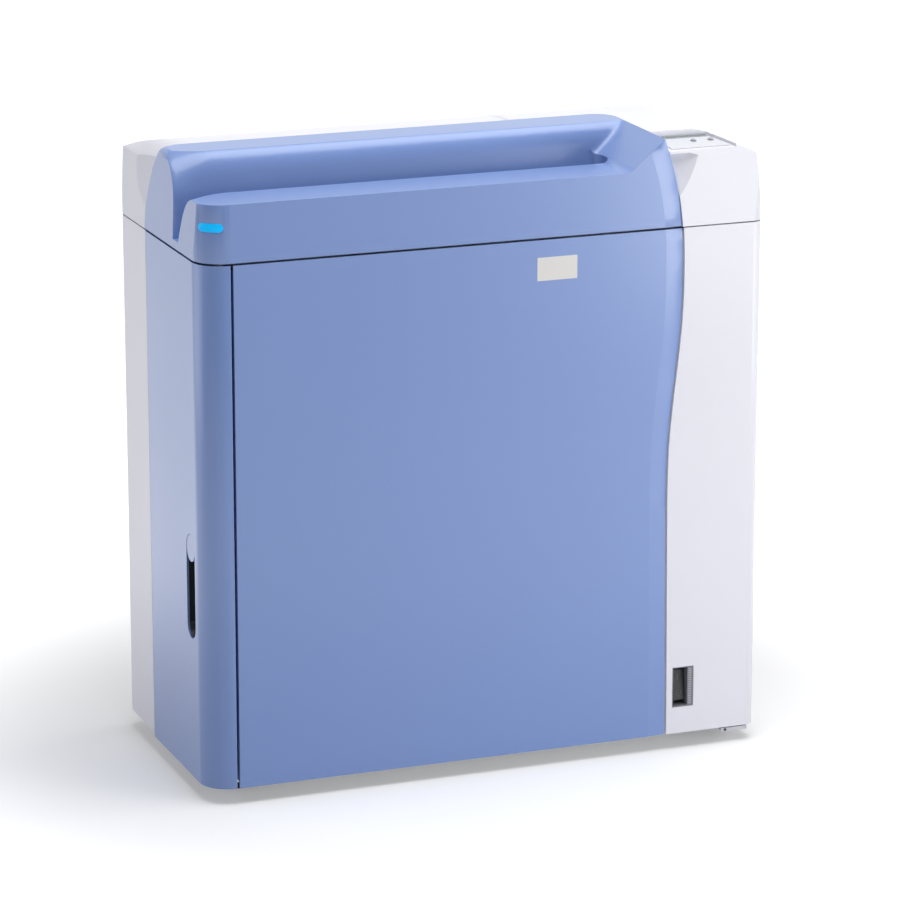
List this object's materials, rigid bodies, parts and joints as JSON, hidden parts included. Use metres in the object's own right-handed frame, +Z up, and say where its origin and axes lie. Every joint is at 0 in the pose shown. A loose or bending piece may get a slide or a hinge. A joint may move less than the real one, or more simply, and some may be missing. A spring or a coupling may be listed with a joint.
{
  "type": "computed radiography reader",
  "caption": "Upright computed radiography reader: cassette trough in the lid, hinged front door, feed rollers, cassette lift, scan carriage and optics inside.",
  "frame": {"origin": "centre of the bounding box's bottom, on the surface that the feet stand on", "axes": "+X to the right seen from the front, +Y to the back, +Z up; the door faces -Y"},
  "size_m": [0.7, 0.33, 0.755],
  "materials": {
    "blue_cover": "satin",
    "white_cover": "satin",
    "rear_sheet": "satin",
    "frame_sheet": "zinc plated",
    "bright_steel": "ground",
    "aluminium": "satin",
    "black_plastic": "matte",
    "grey_plastic": "matte",
    "gear_plastic": "matte",
    "rubber": "matte",
    "cyan_lens": "clear",
    "panel_print": "printed",
    "mirror": "polished",
    "optic_glass": "clear",
    "lamp_glass": "frosted",
    "magnet": "matte",
    "board": "lacquered",
    "cast_housing": "painted"
  },
  "bodies": {
    "housing": {"left_corner_cover": "blue_cover", "left_rear_cover": "white_cover", "right_cover": "white_cover", "hinge_brackets": "frame_sheet", "hinge_pins": "bright_steel", "finger_pocket": "black_plastic", "lid_saddle": "blue_cover", "status_lens": "cyan_lens", "top_cover_left": "white_cover", "top_cover_right": "white_cover", "panel_plate": "panel_print", "switch_housing": "grey_plastic", "base_tray": "frame_sheet", "rubber_feet": "rubber", "skirt_bracket": "rear_sheet", "left_side_plate": "frame_sheet", "bay_plate": "frame_sheet", "right_side_plate": "frame_sheet", "cross_bars": "frame_sheet", "feed_bearings": "bright_steel", "feed_motor": "black_plastic", "guide_rods": "bright_steel", "scan_rails": "bright_steel", "rod_clamps": "aluminium", "screw_motors": "black_plastic", "optical_box": "cast_housing", "scan_lens": "optic_glass", "light_guide": "optic_glass", "photomultiplier": "black_plastic", "erasure_lamps": "lamp_glass", "power_supply": "aluminium", "control_board": "board", "door_catches": "black_plastic", "rear_panel": "rear_sheet", "fan_frame": "black_plastic", "cover_screws": "bright_steel", "mains_inlet": "black_plastic", "network_socket": "black_plastic"},
    "door": {"door_panel": "blue_cover", "door_frame": "frame_sheet", "door_hinge_arms": "frame_sheet"},
    "release_tab": {"release_tab": "blue_cover"},
    "rocker": {"power_rocker": "black_plastic"},
    "start_button": {"start_button": "grey_plastic"},
    "stop_button": {"stop_button": "grey_plastic"},
    "shutter": {"slot_shutter": "black_plastic"},
    "feed_front": {"feed_shaft_front": "bright_steel", "feed_sleeves_front": "rubber", "feed_gear_front": "gear_plastic"},
    "feed_rear": {"feed_shaft_rear": "bright_steel", "feed_sleeves_rear": "rubber", "feed_gear_rear": "gear_plastic"},
    "pinion": {"feed_pinion": "bright_steel"},
    "tray": {"cassette_tray": "aluminium"},
    "tray_screw": {"tray_screw": "bright_steel"},
    "carriage": {"scan_carriage": "aluminium", "magnet_plate": "magnet"},
    "scan_screw": {"scan_screw": "bright_steel"},
    "polygon": {"polygon_mirror": "mirror"},
    "fan": {"fan_rotor": "black_plastic"}
  },
  "joints": [
    {"name": "door_swing", "type": "hinge", "parent": "housing", "child": "door", "pos_m": [0.264, -0.156, 0.35], "axis": [0, 0, 1], "range_deg": [0, 90]},
    {"name": "tab_press", "type": "slide", "parent": "housing", "child": "release_tab", "axis": [1, 0, 0], "range_m": [0, 0.004], "stiffness_N_per_m": 600, "springref_m": -0.002},
    {"name": "rocker_tip", "type": "hinge", "parent": "housing", "child": "rocker", "pos_m": [0.25, -0.1535, 0.0785], "axis": [1, 0, 0], "range_deg": [0, 14]},
    {"name": "start_press", "type": "slide", "parent": "housing", "child": "start_button", "axis": [0, 0.1392, -0.9903], "range_m": [0, 0.0015], "stiffness_N_per_m": 300, "springref_m": -0.001},
    {"name": "stop_press", "type": "slide", "parent": "housing", "child": "stop_button", "axis": [0, 0.1392, -0.9903], "range_m": [0, 0.0015], "stiffness_N_per_m": 300, "springref_m": -0.001},
    {"name": "shutter_swing", "type": "hinge", "parent": "housing", "child": "shutter", "pos_m": [-0.08, -0.0555, 0.6525], "axis": [1, 0, 0], "range_deg": [0, 72], "stiffness_Nm_per_rad": 0.03, "springref_deg": -34.38},
    {"name": "feed_front_spin", "type": "hinge", "parent": "housing", "child": "feed_front", "pos_m": [-0.08, -0.0895, 0.612], "axis": [1, 0, 0], "continuous": true},
    {"name": "feed_rear_spin", "type": "hinge", "parent": "housing", "child": "feed_rear", "pos_m": [-0.08, -0.0505, 0.612], "axis": [1, 0, 0], "continuous": true},
    {"name": "pinion_spin", "type": "hinge", "parent": "housing", "child": "pinion", "pos_m": [0.204, -0.0895, 0.5835], "axis": [1, 0, 0], "continuous": true},
    {"name": "tray_lift", "type": "slide", "parent": "housing", "child": "tray", "axis": [0, 0, -1], "range_m": [0, 0.46]},
    {"name": "tray_screw_spin", "type": "hinge", "parent": "housing", "child": "tray_screw", "pos_m": [0.172, -0.052, 0.34], "axis": [0, 0, 1], "range_deg": [0, 8300]},
    {"name": "scan_lift", "type": "slide", "parent": "housing", "child": "carriage", "axis": [0, 0, 1], "range_m": [0, 0.31]},
    {"name": "scan_screw_spin", "type": "hinge", "parent": "housing", "child": "scan_screw", "pos_m": [0.172, -0.102, 0.34], "axis": [0, 0, 1], "range_deg": [0, 5700]},
    {"name": "polygon_spin", "type": "hinge", "parent": "housing", "child": "polygon", "pos_m": [-0.06, 0.105, 0.366], "axis": [0, 0, 1], "continuous": true},
    {"name": "fan_spin", "type": "hinge", "parent": "housing", "child": "fan", "pos_m": [0.262, 0.15, 0.56], "axis": [0, 1, 0], "continuous": true}
  ],
  "couplings": [
    {"joint": "feed_rear_spin", "follows": "feed_front_spin", "ratio": -1},
    {"joint": "pinion_spin", "follows": "feed_front_spin", "ratio": -2.1667},
    {"joint": "tray_screw_spin", "follows": "tray_lift", "rad_per_m": 314.16},
    {"joint": "scan_screw_spin", "follows": "scan_lift", "rad_per_m": 314.16}
  ]
}
